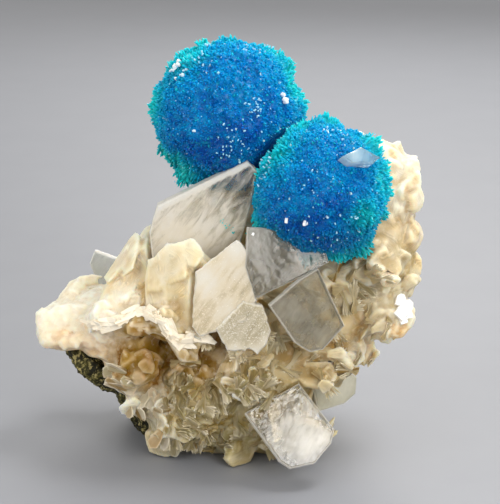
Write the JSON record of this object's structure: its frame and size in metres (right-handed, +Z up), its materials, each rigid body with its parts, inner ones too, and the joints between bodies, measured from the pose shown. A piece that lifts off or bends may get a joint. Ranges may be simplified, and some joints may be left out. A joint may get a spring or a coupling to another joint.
{
  "type": "cavansite crystal specimen on stilbite",
  "caption": "Two round balls of blue cavansite crystals on a pale cluster of zeolite blades with a dark basalt rind, standing on a flat foot.",
  "frame": {"origin": "on the flat foot the specimen rests on, below the middle of the matrix", "axes": "+Z up from the foot, -Y towards the front that shows both balls, +X to the right seen from that front"},
  "size_m": [0.0294, 0.0186, 0.0313],
  "materials": {
    "cavansite": "vitreous, from deep blue inside to teal at the tips of the crystals",
    "stilbite": "pearly to vitreous, cream with honey brown hollows",
    "basalt": "dull, dark olive black",
    "clear_zeolite": "clear and glassy with white clouds",
    "cream_zeolite": "pearly, milky cream"
  },
  "bodies": {
    "root": {"cavansite_ball_upper": "cavansite", "cavansite_ball_lower": "cavansite", "stilbite_matrix": "stilbite", "basalt_rind": "basalt", "tall_blade": "clear_zeolite", "cream_blade": "cream_zeolite", "scalloped_blade": "cream_zeolite", "clear_blade_upper": "clear_zeolite", "clear_blade_lower": "clear_zeolite", "foot_blade": "clear_zeolite", "back_left_blade": "clear_zeolite", "rear_blade": "clear_zeolite", "rear_low_blade": "clear_zeolite", "right_low_blade": "clear_zeolite", "ball_chip": "clear_zeolite"}
  },
  "joints": []
}
